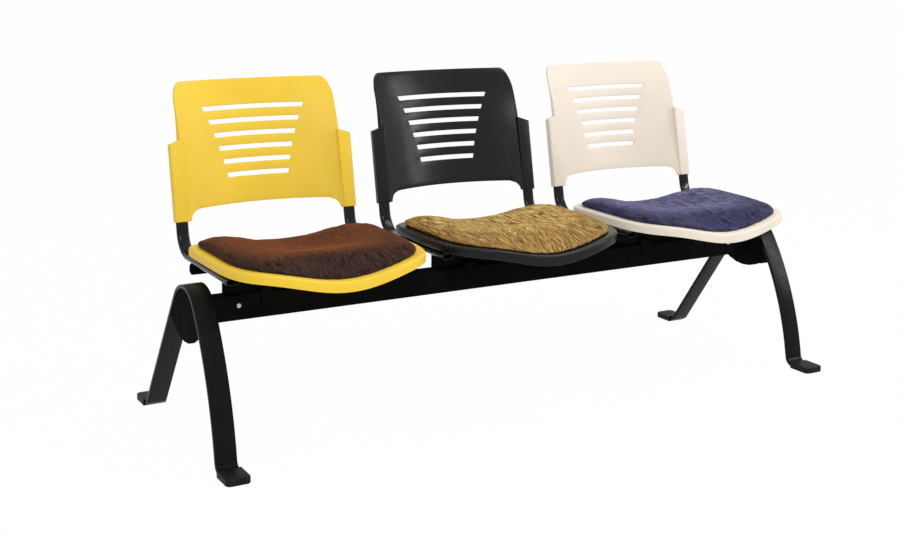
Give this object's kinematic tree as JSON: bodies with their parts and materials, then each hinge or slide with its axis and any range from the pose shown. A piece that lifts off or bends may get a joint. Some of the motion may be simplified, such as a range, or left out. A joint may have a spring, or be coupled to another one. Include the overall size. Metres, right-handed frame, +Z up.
{
  "type": "beam seating bench",
  "caption": "Beam bench with moulded plastic seats, padded upholstery, slotted backrests on bent tube frames, a steel beam and arched flat-bar legs.",
  "frame": {"origin": "on the floor under the middle of the bench's outline", "axes": "+X along the beam, to the right seen from the front; +Y to the back, so the seats face -Y; +Z up"},
  "size_m": [1.6836, 0.6494, 0.7935],
  "materials": {
    "powder_coat": "satin powder coat",
    "glide_plastic": "fine texture",
    "zinc_steel": "zinc plated",
    "board": "plain plywood",
    "left_plastic": "satin",
    "middle_plastic": "satin",
    "right_plastic": "satin",
    "left_fabric": "streaked weave",
    "middle_fabric": "streaked weave",
    "right_fabric": "streaked weave"
  },
  "bodies": {
    "root": {"beam": "powder_coat", "left_backrest_screw_left": "zinc_steel", "left_backrest_screw_right": "zinc_steel", "left_backrest_shell": "left_plastic", "left_cushion_board": "board", "left_frame_tube_left": "powder_coat", "left_frame_tube_right": "powder_coat", "left_front_cross_bar": "powder_coat", "left_front_shoe": "glide_plastic", "left_leg_bar": "powder_coat", "left_leg_inner_plate": "powder_coat", "left_leg_outer_plate": "powder_coat", "left_rear_cross_bar": "powder_coat", "left_rear_shoe": "glide_plastic", "left_saddle_left": "powder_coat", "left_saddle_left_bolt": "zinc_steel", "left_saddle_right": "powder_coat", "left_saddle_right_bolt": "zinc_steel", "left_seat_cushion": "left_fabric", "left_seat_pan": "left_plastic", "left_spigot": "powder_coat", "left_spigot_screw": "zinc_steel", "middle_backrest_screw_left": "zinc_steel", "middle_backrest_screw_right": "zinc_steel", "middle_backrest_shell": "middle_plastic", "middle_cushion_board": "board", "middle_frame_tube_left": "powder_coat", "middle_frame_tube_right": "powder_coat", "middle_front_cross_bar": "powder_coat", "middle_rear_cross_bar": "powder_coat", "middle_saddle_left": "powder_coat", "middle_saddle_left_bolt": "zinc_steel", "middle_saddle_right": "powder_coat", "middle_saddle_right_bolt": "zinc_steel", "middle_seat_cushion": "middle_fabric", "middle_seat_pan": "middle_plastic", "right_backrest_screw_left": "zinc_steel", "right_backrest_screw_right": "zinc_steel", "right_backrest_shell": "right_plastic", "right_cushion_board": "board", "right_frame_tube_left": "powder_coat", "right_frame_tube_right": "powder_coat", "right_front_cross_bar": "powder_coat", "right_front_shoe": "glide_plastic", "right_leg_bar": "powder_coat", "right_leg_inner_plate": "powder_coat", "right_leg_outer_plate": "powder_coat", "right_rear_cross_bar": "powder_coat", "right_rear_shoe": "glide_plastic", "right_saddle_left": "powder_coat", "right_saddle_left_bolt": "zinc_steel", "right_saddle_right": "powder_coat", "right_saddle_right_bolt": "zinc_steel", "right_seat_cushion": "right_fabric", "right_seat_pan": "right_plastic", "right_spigot": "powder_coat", "right_spigot_screw": "zinc_steel"}
  },
  "joints": []
}
